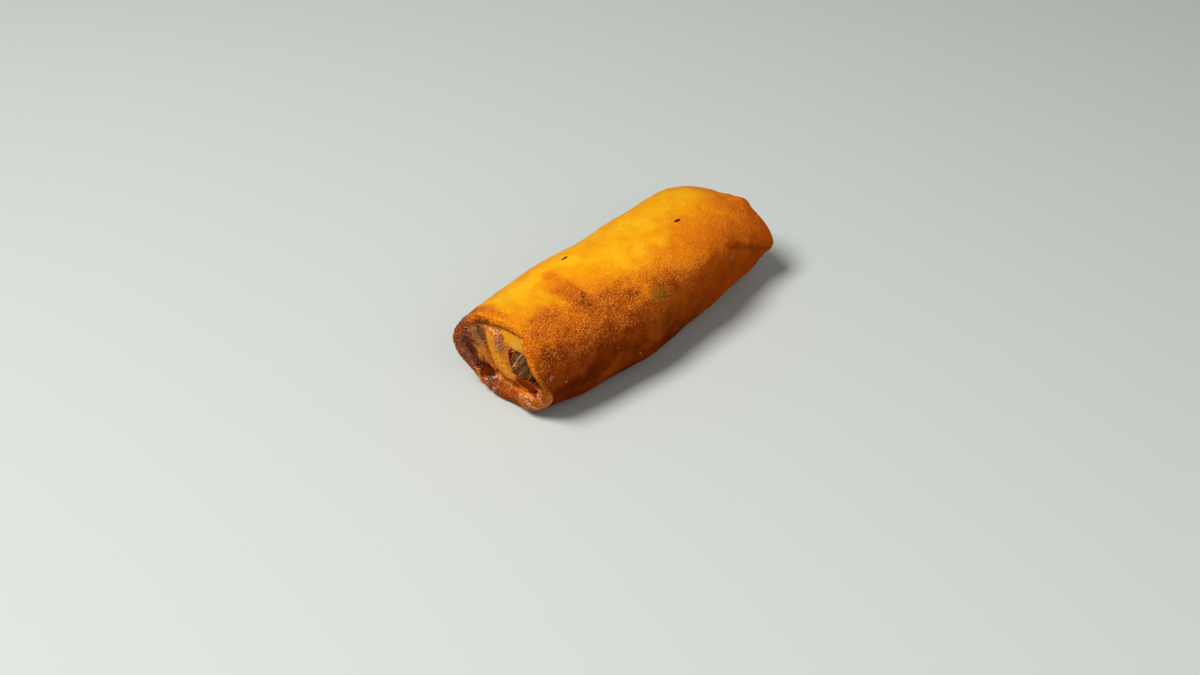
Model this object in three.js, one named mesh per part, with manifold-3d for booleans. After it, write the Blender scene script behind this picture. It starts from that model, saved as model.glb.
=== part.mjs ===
// Fried spring roll: a browned pastry wrapper rolled round a vegetable filling.
// The near end (-X) has its side flaps tucked in and gapes at its front corner (-Y),
// where the filling shows. The far end (+X) is pressed flatter and tucked shut.
// Millimetres, +Z up, +X along the roll, origin on the table under its middle.

import * as THREE from 'three';
import { mergeVertices } from 'three/addons/utils/BufferGeometryUtils.js';
import Module from 'manifold-3d';

const wasm = await Module();
wasm.setup();

// ---- Driving dimensions ------------------------------------------------------

const ROLL_LENGTH = 111;
const NEAR_END = -ROLL_LENGTH / 2;
const FAR_END = ROLL_LENGTH / 2;

// Sections along the roll. Crown and belly are heights, and sideways is how far the
// middle is off the roll's line. A squareness of 2 is an ellipse, more is squarer, and
// less is pinched towards the sides. A belly below the table is pressed flat on it.
const SECTIONS = [
  // along, half width, crown, belly, sideways, squareness in front, squareness behind
  [-55.5, 20.0, 36.2, 0.0, 1.0, 2.2, 1.75],
  [-38.5, 21.7, 35.9, -0.6, 0.3, 2.3, 2.1],
  [-11.0, 23.1, 36.6, -0.6, -1.1, 2.35, 2.35],
  [19.5, 21.9, 37.6, -0.6, -0.1, 2.35, 2.35],
  [40.0, 20.4, 34.7, 0.6, 1.9, 2.2, 2.2],
  [55.5, 17.4, 28.9, 5.3, -1.2, 1.7, 2.0],
];

// How far each end leans out, along the roll per mm sideways and per mm of height, and
// how far into the roll the lean is felt.
const NEAR_LEAN = { sideways: -0.12, upwards: -0.09, reach: 39 };
const FAR_LEAN = { sideways: 0.0, upwards: -0.09, reach: 39 };

// The pastry's last edge, sealed along the underside towards the back: a step that
// fades out round the roll (radians) and is gone at the ends.
const SEAM = { angle: 4.15, step: 0.9, edge: 0.08, fade: 1.3, endMargin: 12 };

// Soft dents and swells of the skin, calmer at the ends.
const SWELLS = [
  // height, waves along the roll, waves round it, turn
  [0.35, 1.5, 2, 0.4],
  [0.25, 2.5, 3, 2.1],
  [0.2, 4.0, 1, 4.0],
];
const SWELL_AT_ENDS = 0.4;

// The near rim, by degrees from the front (0) over the top (90) to the back (180): how
// far it stands out past the flat of the end, and how much of it is rolled over (1)
// where it isn't cut off square (0).
const NEAR_RIM = [
  // degrees, stands out, rolled
  [0, 0.4, 0.3],
  [24, 2.0, 0],
  [42, 0.3, 0],
  [60, -2.2, 0],
  [80, -2.0, 0],
  [105, -0.4, 0.1],
  [140, -0.3, 0.7],
  [170, 1.4, 1],
  [195, 1.4, 1],
  [220, 0.5, 1],
  [255, 0.6, 1],
  [285, 0.2, 1],
  [310, 1.2, 0.9],
  [340, -0.3, 0.7],
  [360, 0.4, 0.3],
];
const RIM_WAVE_REACH = 20;
const CUT_RIM = { inset: 0.7, reach: 0.7 };
const ROLLED_RIM = { inset: 2.6, reach: 2.4 };

// The pastry's thickness shows as a step inside the cut rim.
const PASTRY = 1.2;
const STEP_AT = 0.985;
const STEP_FADE = 7;

// The side flaps tucked in inside the rim. Places are [sideways, height], depths are
// measured from the flat of the end, and each mark fades out over its half width.
const END_MIDDLE = [3.0, 16.5];
const FLAP = { depth: 1.7, width: 5.0 };

// The inner flap comes down from the top as a rounded tongue, then turns to the front.
const TONGUE = {
  path: [[1.5, 37], [0.7, 31], [0.9, 24], [0.2, 19], [-1.8, 15], [-5.5, 12.6], [-10, 12.6], [-15, 14.0]],
  halfWidths: [4.6, 2.4],
  narrowsFrom: 0.5,
  narrowsTo: 0.8,
  crest: 0.2,
  crown: 0.4,
  fall: 1.2,
  edge: [1.4, 0.8],
};
const HOLLOWS = [
  { path: [[10.6, 8.6], [9.6, 7.6]], halfWidth: 4.2, depth: 1.7 },
  { path: [[14.4, 24], [15.2, 17.5], [13.6, 13], [10.6, 9.5]], halfWidth: 2.0, depth: 0.9 },
  { path: [[6.6, 30], [7.2, 22], [6.6, 15], [5.2, 10.4]], halfWidth: 1.8, depth: 0.9 },
  { path: [[4.4, 9.8], [-0.3, 9.2], [-5.6, 9.4], [-10.4, 10.8]], halfWidth: 1.7, depth: 1.4 },
];
const RIDGE = { path: [[3.0, 8.2], [6.6, 1.8]], halfWidth: 1.8, height: 0.7 };

// The gap between the tongue's front edge and the outer turn of pastry.
const OPENING = [
  [-17.3, 20.6], [-15.4, 25.4], [-11, 26.8], [-6.6, 26.8], [-3.4, 25.4],
  [-3.0, 20.4], [-3.9, 16.4], [-6.4, 14.7], [-10, 15.0], [-14, 15.6], [-16.6, 17.4],
];
const OPENING_MIDDLE = [-9.8, 20.4];

// The hollow that holds the filling, behind the tucked flaps. Depths are from the flat
// of the near end: the cut that opens its mouth starts in front of it, the neck starts
// to widen, is as wide as the pastry lets it, and closes again.
const WALL = 3.2;
const HOLLOW = { mouth: -6, neck: 5, full: 13, closing: 92, end: 101 };

// Filling: a packed core, and the shreds that show in the opening. Each shred starts
// between the two depths and runs into the roll, leaning up and to the front.
const CLEARANCE = 0.35;
const CORE_DEPTH = 3.8;
const SHREDS = {
  rows: 4,
  columns: 5,
  starts: [1.5, 2.8],
  length: 8,
  width: [1.5, 2.3],
  flatness: 0.72,
  heading: [0.62, -0.35, 0.5],
  headingSpread: 0.5,
  placeSpread: 1.6,
  bend: 1.4,
  sides: 5,
  seed: 7,
};

// Far end: tucked shut, with one flap laid over the other along a slanting edge.
const FAR_RIM = { inset: 1.4, reach: 1.2 };
const FAR_TUCK = { depth: 1.6, flap: 1.0, edgeWidth: 1.2, from: [-11, 13.5], to: [10, 21] };

// Faces round the skin and round the hollow, and rings of faces along them.
const COLUMNS = 72;
const HOLLOW_COLUMNS = 36;
const RINGS = { nearEnd: 17, nearRim: 4, skin: 27, farRim: 3, farEnd: 6 };
const HOLLOW_RINGS = { neck: 7, trunk: 6, closing: 5 };

const TURN = 2 * Math.PI;
const QUARTER = Math.PI / 2;
const { clamp, lerp, euclideanModulo } = THREE.MathUtils;

// An eased step from 0 to 1 as a value goes from one bound to the other, either way.
function ease(value, from, to) {
  const share = clamp((value - from) / (to - from), 0, 1);
  return share * share * (3 - 2 * share);
}

// ---- The skin ----------------------------------------------------------------

// A smooth curve through the rows of a table, by the place in each row's first column.
function alongTable(table, place) {
  const at = clamp(place, table[0][0], table.at(-1)[0]);
  const row = Math.min(table.findLastIndex((entry) => entry[0] <= at), table.length - 2);
  const slope = (index, column) => {
    const before = table[Math.max(index - 1, 0)];
    const after = table[Math.min(index + 1, table.length - 1)];
    return (after[column] - before[column]) / (after[0] - before[0]);
  };
  const [start, end] = [table[row], table[row + 1]];
  const span = end[0] - start[0];
  const t = (at - start[0]) / span;
  return start.map((value, column) => (
    value * (1 + 2 * t) * (1 - t) ** 2
    + end[column] * t * t * (3 - 2 * t)
    + span * (slope(row, column) * t * (1 - t) ** 2 + slope(row + 1, column) * t * t * (t - 1))));
}

// How far an end's lean moves a point along the roll.
function lean(along, sideways, upwards) {
  const near = ease(along - NEAR_END, NEAR_LEAN.reach, 0);
  const far = ease(FAR_END - along, FAR_LEAN.reach, 0);
  return near * (NEAR_LEAN.sideways * sideways + NEAR_LEAN.upwards * upwards)
    + far * (FAR_LEAN.sideways * sideways + FAR_LEAN.upwards * upwards);
}

// How far the near rim stands out at an angle, and how much it is rolled over there.
const rimWave = (angle) => alongTable(NEAR_RIM, THREE.MathUtils.radToDeg(angle))[1];
const rolled = (angle) => alongTable(NEAR_RIM, THREE.MathUtils.radToDeg(angle))[2];

// How far the skin stands out from its plain section.
function swell(along, angle) {
  const place = (along - NEAR_END) / ROLL_LENGTH;
  const waves = SWELLS.reduce((sum, [height, lengthwise, round, turn]) => (
    sum + height * Math.sin(TURN * lengthwise * place + round * angle + turn)), 0);
  const pastSeam = euclideanModulo(SEAM.angle - angle, TURN);
  const awayFromEnds = ease(Math.abs(along), FAR_END, FAR_END - SEAM.endMargin);
  const seam = Math.exp(-pastSeam / SEAM.fade) * ease(pastSeam, 0, SEAM.edge);
  return waves * lerp(SWELL_AT_ENDS, 1, awayFromEnds) + SEAM.step * awayFromEnds * seam;
}

// A point of the skin, or of a layer that lies inset from it.
function skinPoint(along, angle, inset = 0) {
  const [, halfWidth, crown, belly, sideways, front, behind] = alongTable(SECTIONS, along);
  const halfHeight = (crown - belly) / 2;
  const squareness = lerp(behind, front, (1 + Math.cos(angle)) / 2);
  const across = Math.abs(Math.cos(angle) / halfWidth) ** squareness;
  const upright = Math.abs(Math.sin(angle) / halfHeight) ** squareness;
  const radius = (across + upright) ** (-1 / squareness) + swell(along, angle) - inset;
  const y = -radius * Math.cos(angle);
  const z = radius * Math.sin(angle);
  const height = Math.max((crown + belly) / 2 + z, inset);
  const wave = rimWave(angle) * ease(along - NEAR_END, RIM_WAVE_REACH, 0);
  return new THREE.Vector3(along + lean(along, y, z) - wave, sideways + y, height);
}

// ---- The near end ------------------------------------------------------------

// The nearest place of a path to a point: how far off it is, and how far along, 0 to 1.
function nearestOnPath(y, z, path) {
  const point = new THREE.Vector3(0, y, z);
  const places = path.slice(1).map((to, index) => {
    const line = new THREE.Line3(new THREE.Vector3(0, ...path[index]), new THREE.Vector3(0, ...to));
    const share = line.closestPointToPointParameter(point, true);
    const away = line.at(share, new THREE.Vector3()).distanceTo(point);
    return { away, along: (index + share) / (path.length - 1) };
  });
  return places.reduce((best, place) => (place.away < best.away ? place : best));
}

// A long soft mark: 1 on its path, falling to 0 at its half width.
const mark = (y, z, { path, halfWidth }) => ease(nearestOnPath(y, z, path).away, halfWidth, 0);

// Where the flat of the end lies at a place on it.
function nearFace(y, z) {
  const [, , crown, belly, sideways] = alongTable(SECTIONS, NEAR_END);
  return NEAR_END + lean(NEAR_END, y - sideways, z - (crown + belly) / 2);
}

const rimInset = (angle) => lerp(CUT_RIM.inset, ROLLED_RIM.inset, rolled(angle));
const rimReach = (angle) => lerp(CUT_RIM.reach, ROLLED_RIM.reach, rolled(angle));

// How deep the tucked flaps lie below the flat of the end.
function tuckDepth(y, z, rimDistance) {
  const flap = FLAP.depth * ease(rimDistance, 0, FLAP.width);
  const hollows = HOLLOWS.reduce((sum, hollow) => sum + hollow.depth * mark(y, z, hollow), 0);
  const bowl = flap + hollows - RIDGE.height * mark(y, z, RIDGE);
  const { away, along } = nearestOnPath(y, z, TONGUE.path);
  const [wide, narrow] = TONGUE.halfWidths;
  const across = away / lerp(wide, narrow, ease(along, TONGUE.narrowsFrom, TONGUE.narrowsTo));
  const towardsFront = ease(y, wide, -wide);
  const tongue = TONGUE.crest + TONGUE.crown * across ** 2 + TONGUE.fall * towardsFront;
  return lerp(bowl, tongue, ease(across, ...TONGUE.edge));
}

// A point of the near end inside the rim, by its share of the way from the end's middle.
function nearEndPoint(angle, share) {
  const rim = skinPoint(NEAR_END, angle, rimInset(angle));
  const y = lerp(END_MIDDLE[0], rim.y, share);
  const z = lerp(END_MIDDLE[1], rim.z, share);
  const rimDistance = Math.hypot(rim.y - y, rim.z - z);
  const rimDepth = PASTRY * (1 - rolled(angle)) - rimWave(angle);
  const depth = lerp(tuckDepth(y, z, rimDistance), rimDepth, ease(rimDistance, STEP_FADE, 0));
  return new THREE.Vector3(nearFace(y, z) + depth, y, z);
}

// A point of the near rim, which bends from the end's flat (0) round to the skin.
function nearRimPoint(angle, bend) {
  const skin = skinPoint(NEAR_END, angle, rimInset(angle) * (1 - Math.sin(bend)));
  skin.x += rimReach(angle) * (1 - Math.cos(bend));
  return skin;
}

// ---- The far end -------------------------------------------------------------

// The middle of a section, halfway between its sides.
const sectionMiddle = (along) => skinPoint(along, 0).lerp(skinPoint(along, Math.PI), 0.5);

// A point of the far end inside the rim, by its share of the way from the end's middle.
function farEndPoint(angle, share) {
  const point = sectionMiddle(FAR_END).lerp(skinPoint(FAR_END, angle, FAR_RIM.inset), share);
  const edgeStart = new THREE.Vector2(...FAR_TUCK.from);
  const edge = new THREE.Vector2(...FAR_TUCK.to).sub(edgeStart).normalize();
  const aboveEdge = edge.cross(new THREE.Vector2(point.y, point.z).sub(edgeStart));
  const flap = FAR_TUCK.flap * ease(aboveEdge, FAR_TUCK.edgeWidth / 2, -FAR_TUCK.edgeWidth / 2);
  point.x -= (FAR_TUCK.depth - flap) * ease(share, 1, 0.5);
  return point;
}

// A point of the far rim, which bends from the end's flat (0) round to the skin.
function farRimPoint(angle, bend) {
  const skin = skinPoint(FAR_END, angle, FAR_RIM.inset * (1 - Math.sin(bend)));
  skin.x -= FAR_RIM.reach * (1 - Math.cos(bend));
  return skin;
}

// ---- Solids ------------------------------------------------------------------

const steps = (count, from, to) => (
  Array.from({ length: count }, (_, index) => lerp(from, to, index / (count - 1))));

// A repeatable run of numbers from 0 to 1.
function seededRandom(seed) {
  let state = seed;
  return () => {
    state = (state * 16807) % 2147483647;
    return state / 2147483647;
  };
}

// A closed body from a list of rings, each a function from angle to point. The first
// and the last are poles, where every angle gives the same point.
function ringBody(rings, columns) {
  const geometry = new THREE.SphereGeometry(1, columns, rings.length - 1);
  const position = geometry.getAttribute('position');
  for (let index = 0; index < position.count; index += 1) {
    const ring = rings[Math.floor(index / (columns + 1))];
    const angle = (TURN * (index % (columns + 1))) / columns;
    position.setXYZ(index, ...ring(angle % TURN));
  }
  return toSolid(geometry);
}

function toSolid(geometry) {
  geometry.deleteAttribute('normal');
  geometry.deleteAttribute('uv');
  const merged = mergeVertices(geometry, 1e-4);
  return new wasm.Manifold(new wasm.Mesh({
    numProp: 3,
    vertProperties: new Float32Array(merged.getAttribute('position').array),
    triVerts: new Uint32Array(merged.getIndex().array),
  }));
}

function toGeometry(solid) {
  const mesh = solid.getMesh();
  const geometry = new THREE.BufferGeometry();
  geometry.setAttribute('position', new THREE.BufferAttribute(mesh.vertProperties, 3));
  geometry.setIndex(new THREE.BufferAttribute(mesh.triVerts, 1));
  geometry.computeVertexNormals();
  return geometry;
}

// The rolled pastry as if it were solid right through.
function outerBody() {
  const rings = [
    ...steps(RINGS.nearEnd, 0, STEP_AT).map((share) => (angle) => nearEndPoint(angle, share)),
    ...steps(RINGS.nearRim, 0, QUARTER).map((bend) => (angle) => nearRimPoint(angle, bend)),
    ...steps(RINGS.skin, NEAR_END + 5, FAR_END - 4).map((along) => (angle) => skinPoint(along, angle)),
    ...steps(RINGS.farRim, QUARTER, 0).map((bend) => (angle) => farRimPoint(angle, bend)),
    ...steps(RINGS.farEnd, 0.9, 0).map((share) => (angle) => farEndPoint(angle, share)),
  ];
  return ringBody(rings, COLUMNS);
}

const openingCurve = new THREE.CatmullRomCurve3(
  OPENING.map(([y, z]) => new THREE.Vector3(0, y, z)), true);

// A ring of the hollow at a depth from the near end: the opening's outline at its
// mouth, widening to the inside of the pastry, and drawn in by a clearance.
function hollowRing(depth, clearance) {
  const inner = ease(depth, HOLLOW.neck, HOLLOW.full);
  const middle = new THREE.Vector3(0, ...OPENING_MIDDLE);
  return (angle) => {
    const mouth = openingCurve.getPoint(angle / TURN);
    mouth.lerp(middle, clearance / mouth.distanceTo(middle));
    const trunk = skinPoint(NEAR_END + depth, angle, WALL + clearance);
    const point = mouth.lerp(trunk, inner);
    point.x = lerp(nearFace(point.y, point.z) + depth, trunk.x, inner);
    return point;
  };
}

// A ring of the hollow's rounded far end, from its full width (0) to its pole.
function hollowClosing(turn, clearance) {
  const along = NEAR_END + lerp(HOLLOW.closing, HOLLOW.end - clearance, Math.sin(turn));
  return (angle) => (
    sectionMiddle(along).lerp(skinPoint(along, angle, WALL + clearance), Math.cos(turn)));
}

// The hollow as a solid, from a depth below the near end to its far end.
function hollowBody(fromDepth, clearance) {
  const mouth = hollowRing(fromDepth, clearance);
  const pole = mouth(0).lerp(mouth(Math.PI), 0.5);
  const depths = [
    ...steps(HOLLOW_RINGS.neck, HOLLOW.neck, HOLLOW.full),
    ...steps(HOLLOW_RINGS.trunk, HOLLOW.full + 12, HOLLOW.closing - 8),
  ];
  const rings = [
    () => pole,
    mouth,
    ...depths.map((depth) => hollowRing(depth, clearance)),
    ...steps(HOLLOW_RINGS.closing, 0, QUARTER).map((turn) => hollowClosing(turn, clearance)),
  ];
  return ringBody(rings, HOLLOW_COLUMNS);
}

// A shred of vegetable: a flattish bar along a slightly bent line.
function shred(start, heading, width, bend) {
  const end = start.clone().addScaledVector(heading, SHREDS.length);
  const middle = start.clone().lerp(end, 0.5).add(bend);
  const corners = steps(SHREDS.sides + 1, 0, TURN).slice(1).map((turn) => (
    new THREE.Vector2(Math.cos(turn), Math.sin(turn) * SHREDS.flatness).multiplyScalar(width / 2)));
  return toSolid(new THREE.ExtrudeGeometry(new THREE.Shape(corners), {
    extrudePath: new THREE.CatmullRomCurve3([start, middle, end]),
    steps: 4,
    bevelEnabled: false,
  }));
}

// The core with a bundle of shreds fused on, trimmed to clear the pastry all round.
function fillingBody() {
  const random = seededRandom(SHREDS.seed);
  const spread = (size) => (random() - 0.5) * size;
  const mouth = new THREE.Box3().setFromPoints(openingCurve.getPoints(HOLLOW_COLUMNS));
  let filling = hollowBody(CORE_DEPTH, CLEARANCE);
  for (let index = 0; index < SHREDS.rows * SHREDS.columns; index += 1) {
    const column = (index % SHREDS.columns + 0.5) / SHREDS.columns;
    const row = (Math.floor(index / SHREDS.columns) + 0.5) / SHREDS.rows;
    const y = lerp(mouth.min.y, mouth.max.y, column) + spread(SHREDS.placeSpread);
    const z = lerp(mouth.min.z, mouth.max.z, row) + spread(SHREDS.placeSpread);
    const start = new THREE.Vector3(nearFace(y, z) + lerp(...SHREDS.starts, random()), y, z);
    const heading = new THREE.Vector3(
      ...SHREDS.heading.map((part) => part + spread(SHREDS.headingSpread))).normalize();
    const bend = new THREE.Vector3(...SHREDS.heading.map(() => spread(SHREDS.bend)));
    filling = filling.add(shred(start, heading, lerp(...SHREDS.width, random()), bend));
  }
  const [largest] = filling.intersect(hollowBody(0, CLEARANCE)).decompose()
    .sort((one, other) => other.volume() - one.volume());
  return largest;
}

// ---- Materials and the finished group ----------------------------------------

const crust = new THREE.MeshStandardMaterial({ color: 0xc8741c, roughness: 0.5, metalness: 0 });
const greens = new THREE.MeshStandardMaterial({ color: 0x5c4a1c, roughness: 0.45, metalness: 0 });

function named(name, solid, material) {
  const mesh = new THREE.Mesh(toGeometry(solid), material);
  mesh.name = name;
  return mesh;
}

const springRoll = new THREE.Group();
springRoll.add(named('wrapper', outerBody().subtract(hollowBody(HOLLOW.mouth, 0)), crust));
springRoll.add(named('filling', fillingBody(), greens));

// Centre the roll over the origin.
const middle = new THREE.Box3().setFromObject(springRoll).getCenter(new THREE.Vector3());
springRoll.position.set(-middle.x, -middle.y, 0);

export default springRoll;
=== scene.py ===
"""Fried spring roll: the browned pastry, its shredded filling and a plain stage.

The shape functions work in millimetres, measured from the middle of the roll's own
line. Finished meshes are in metres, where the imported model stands.
"""

import math

import bmesh
import bpy
import numpy as np
from mathutils import Matrix, Vector, noise


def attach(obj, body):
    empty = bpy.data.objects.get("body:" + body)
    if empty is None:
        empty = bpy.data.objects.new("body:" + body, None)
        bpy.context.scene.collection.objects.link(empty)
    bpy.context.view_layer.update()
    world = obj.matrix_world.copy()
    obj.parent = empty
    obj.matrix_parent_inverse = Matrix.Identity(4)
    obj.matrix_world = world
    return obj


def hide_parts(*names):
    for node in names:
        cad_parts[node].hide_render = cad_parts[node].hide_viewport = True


bl_info = {
    "name": "Fried Spring Roll",
    "version": (1, 0, 0),
    "blender": (4, 5, 0),
    "location": "3D View > Sidebar > Spring Roll",
    "description": "Makes a fried spring roll with its filling, on a plain stage",
    "category": "Add Mesh",
}

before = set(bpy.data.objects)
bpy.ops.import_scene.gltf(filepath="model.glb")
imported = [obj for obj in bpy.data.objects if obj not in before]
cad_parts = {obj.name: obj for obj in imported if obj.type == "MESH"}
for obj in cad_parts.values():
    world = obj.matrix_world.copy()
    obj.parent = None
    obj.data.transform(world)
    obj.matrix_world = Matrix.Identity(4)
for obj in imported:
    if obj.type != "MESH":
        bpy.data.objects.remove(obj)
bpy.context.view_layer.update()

MM = 0.001
TURN = 2 * math.pi
QUARTER = math.pi / 2

# Where the middle of the roll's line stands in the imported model.
LINE_PLACE = (1.38, 0.507, 0.0)

# ---- The roll's named forms --------------------------------------------------

ROLL_LENGTH = 111.0
NEAR_END = -ROLL_LENGTH / 2
FAR_END = ROLL_LENGTH / 2
SHOULDER = NEAR_END + 8

SECTIONS = [
    # along, half width, crown, belly, sideways, squareness in front, squareness behind
    (-55.5, 20, 36.2, 0, 1, 2.2, 1.75),
    (-38.5, 21.7, 35.9, -0.6, 0.3, 2.3, 2.1),
    (-11, 23.1, 36.6, -0.6, -1.1, 2.35, 2.35),
    (19.5, 21.9, 37.6, -0.6, -0.1, 2.35, 2.35),
    (40, 20.4, 34.7, 0.6, 1.9, 2.2, 2.2),
    (55.5, 17.4, 28.9, 5.3, -1.2, 1.7, 2),
]
# How far the ends lean along the roll for each millimetre over their faces, and how far in.
NEAR_LEAN = {"sideways": -0.12, "upwards": -0.09, "reach": 39}
FAR_LEAN = {"upwards": -0.09, "reach": 39}

# Small dents and swellings of the skin, which fade out all round.
SKIN_DENTS = [
    # along, degrees, reach along, reach in degrees, height
    (55, 76, 5, 20, 0.9),
    (55, 120, 8, 28, -0.9),
    (44, 150, 15, 32, 1.1),
]

# The pastry's sealed last edge along the underside.
SEAM = {"angle": 4.15, "step": 0.9, "edge": 0.06, "fade": 1.3, "end_margin": 12}

SWELLS = [
    # height, waves along the roll, waves round it, turn
    (0.35, 1.5, 2, 0.4),
    (0.25, 2.5, 3, 2.1),
    (0.2, 4, 1, 4),
]
SWELL_AT_ENDS = 0.4

NEAR_RIM = [
    # degrees, stands out, rolled over
    (0, 0.4, 0.3),
    (24, 2, 0),
    (42, 0.3, 0),
    (60, -2.2, 0),
    (80, -2, 0),
    (105, -0.4, 0.1),
    (140, -0.3, 0.7),
    (170, 1.4, 1),
    (195, 1.4, 1),
    (220, 0.5, 1),
    (255, 0.6, 1),
    (285, 0.2, 1),
    (310, 1.2, 0.9),
    (340, -0.3, 0.7),
    (360, 0.4, 0.3),
]
RIM_WAVE_REACH = 20.0
CUT_RIM = {"inset": 0.7, "reach": 0.7}
ROLLED_RIM = {"inset": 2.6, "reach": 2.4}
PASTRY = 1.2
STEP_FADE = 7.0

FLAP = {"depth": 1.7, "width": 5}
TONGUE = {
    "path": [(1.5, 37), (0.7, 31), (0.9, 24), (0.2, 19), (-1.8, 15), (-5.5, 12.6), (-10, 12.6), (-15, 14)],
    "half_widths": (4.6, 2.4),
    "narrows": (0.5, 0.8),
    "crest": 0.2,
    "crown": 0.4,
    "fall": 1.2,
    "edge": (1.4, 0.8),
}
# Depressions of the near end: path, half width, depth. A raised fold has a negative depth.
HOLLOWS = [
    ([(10.6, 8.6), (9.6, 7.6)], 4.2, 1.7),
    ([(14.4, 24), (15.2, 17.5), (13.6, 13), (10.6, 9.5)], 2, 0.9),
    ([(6.6, 30), (7.2, 22), (6.6, 15), (5.2, 10.4)], 1.8, 0.9),
    ([(4.4, 9.8), (-0.3, 9.2), (-5.6, 9.4)], 1.7, 1.2),
    ([(3, 8.2), (6.6, 1.8)], 1.8, -0.7),
]

# Fine folds of the near end: path, half width, height. A crease has a negative height.
END_FOLDS = [
    ([(5.6, 10.2), (3.4, 9.2), (0, 8.7), (-4, 8.6), (-8, 9.4), (-11, 11.2), (-13.4, 13.6)], 0.8, -0.8),
    ([(7.6, 29), (8.1, 24), (7.6, 18), (6.9, 14), (5.6, 10.2)], 0.6, -0.35),
    (
        [(16, 20), (15.4, 16.1), (14.6, 14.1), (13.2, 11.9), (12.4, 9.5), (11.2, 7.3), (10.2, 4.5)],
        1.2, 0.45,
    ),
    ([(14.4, 22), (13.8, 16.1), (12.6, 13.3), (11.4, 10.5), (9.6, 7.7)], 1.1, -0.6),
    ([(10.6, 14.4), (10.1, 10.7)], 0.8, -0.4),
    ([(8.6, 30), (9.2, 26.6), (8.8, 23.4)], 0.8, -0.6),
    ([(13.8, 26.4), (12.8, 24.4), (12.6, 20.6)], 0.8, -0.5),
    ([(3.4, 31.5), (-0.2, 30.4), (0.6, 28), (-0.2, 24.9)], 1.2, 0.4),
    ([(8.8, 6.4), (6.2, 7.9), (3.6, 8.8)], 0.8, 0.6),
    ([(6.4, 3.4), (5.2, 4.2), (4.4, 5.4)], 0.8, 0.4),
    ([(1.6, 7.6), (0.6, 5.4)], 0.7, 0.3),
    ([(-1.6, 7.8), (-2.6, 5.8)], 0.7, 0.3),
    ([(-5.6, 7.8), (-7, 5.8)], 0.8, 0.45),
    ([(-8.2, 8.8), (-9.8, 6.6)], 0.8, 0.5),
    ([(-10.6, 10.2), (-12.2, 8.2)], 0.8, 0.45),
]

# Corners of the gap's outline at the near end, by their place sideways and their height.
OPENING = np.array([
    (-17.3, 20.6), (-15.4, 25.4), (-11, 26.8), (-6.6, 26.8), (-3.4, 25.4),
    (-3, 20.4), (-3.9, 16.4), (-6.4, 14.7), (-10, 15), (-14, 15.6), (-16.6, 17.4),
])
OPENING_MIDDLE = np.array((-9.8, 20.4))
OPENING_LIP = 0.5

# Which way the shreds lie over the gap, and the way across them: sideways and upwards.
SHREDS_LIE = np.array((-0.55, 0.835))
SHREDS_ACROSS = np.array((0.835, 0.55))
# How far the shreds' lines lie from the gap's middle and wander, and how deep their layers lie.
SHREDS = {"spread": (-6.4, 7.4), "wander": 1.3, "layers": 3, "top_depth": 0.6, "layer_step": 0.45}
SHRED_POINTS = [
    # way over the gap, reach past it, share of the shred's depth, depth added at the bottom
    (0, -1.3, 0.5, 0.4),
    (0.33, 0, 1, 2.4),
    (0.67, 0, 1, 3.2),
    (1, 1, 1, 3.2),
]
# Each tone of a shred, and how often it comes.
SHRED_TONES = {0.0: 0.28, 0.2: 0.3, 0.4: 0.24, 0.55: 0.13, 0.75: 0.05}
CORE = {"columns": 96, "clearance": 0.4, "tone": 0.12}

WALL = 3.2
HOLLOW = {"neck": 5, "full": 13, "closing": 92, "end": 101}

FAR_RIM = {"inset": 1.4, "reach": 1.2}
FAR_CREASE = {"line": [(28, 34), (50.5, -1)], "depth": 0.9, "per_degree": 0.33}
FAR_TUCK = {"depth": 1.6, "flap": 1, "edge_width": 0.7, "start": (-11, 13.5), "end": (10, 21)}


# ---- Shape functions, in millimetres -----------------------------------------

def ease(value, start, end):
    """An eased step from 0 to 1 as a value goes from start to end, either way."""
    share = np.clip((value - start) / (end - start), 0, 1)
    return share * share * (3 - 2 * share)


def lerp(start, end, share):
    return start + (end - start) * share


def along_table(table, place):
    """A smooth curve through a table's rows, by the place in its first column."""
    rows = np.array(table, dtype=float)
    knots, values = rows[:, :1], rows[:, 1:]
    slopes = np.empty_like(values)
    slopes[1:-1] = (values[2:] - values[:-2]) / (knots[2:] - knots[:-2])
    slopes[0] = (values[1] - values[0]) / (knots[1] - knots[0])
    slopes[-1] = (values[-1] - values[-2]) / (knots[-1] - knots[-2])
    at = np.clip(np.atleast_1d(place), knots[0, 0], knots[-1, 0])
    row = np.clip(np.searchsorted(knots[:, 0], at, side="right") - 1, 0, len(rows) - 2)
    span = knots[row + 1] - knots[row]
    t = (at[:, None] - knots[row]) / span
    return (
        values[row] * (1 + 2 * t) * (1 - t) ** 2
        + values[row + 1] * t * t * (3 - 2 * t)
        + span * (slopes[row] * t * (1 - t) ** 2 + slopes[row + 1] * t * t * (t - 1))
    ).T


def lean(along, sideways, upwards):
    """How far an end's lean moves a point along the roll."""
    near = ease(along - NEAR_END, NEAR_LEAN["reach"], 0)
    far = ease(FAR_END - along, FAR_LEAN["reach"], 0)
    near_lean = NEAR_LEAN["sideways"] * sideways + NEAR_LEAN["upwards"] * upwards
    return near * near_lean + far * FAR_LEAN["upwards"] * upwards


def near_rim(angle):
    """How far the near rim stands out at each angle, and how much it is rolled over."""
    return along_table(NEAR_RIM, np.degrees(angle) % 360)


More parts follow.
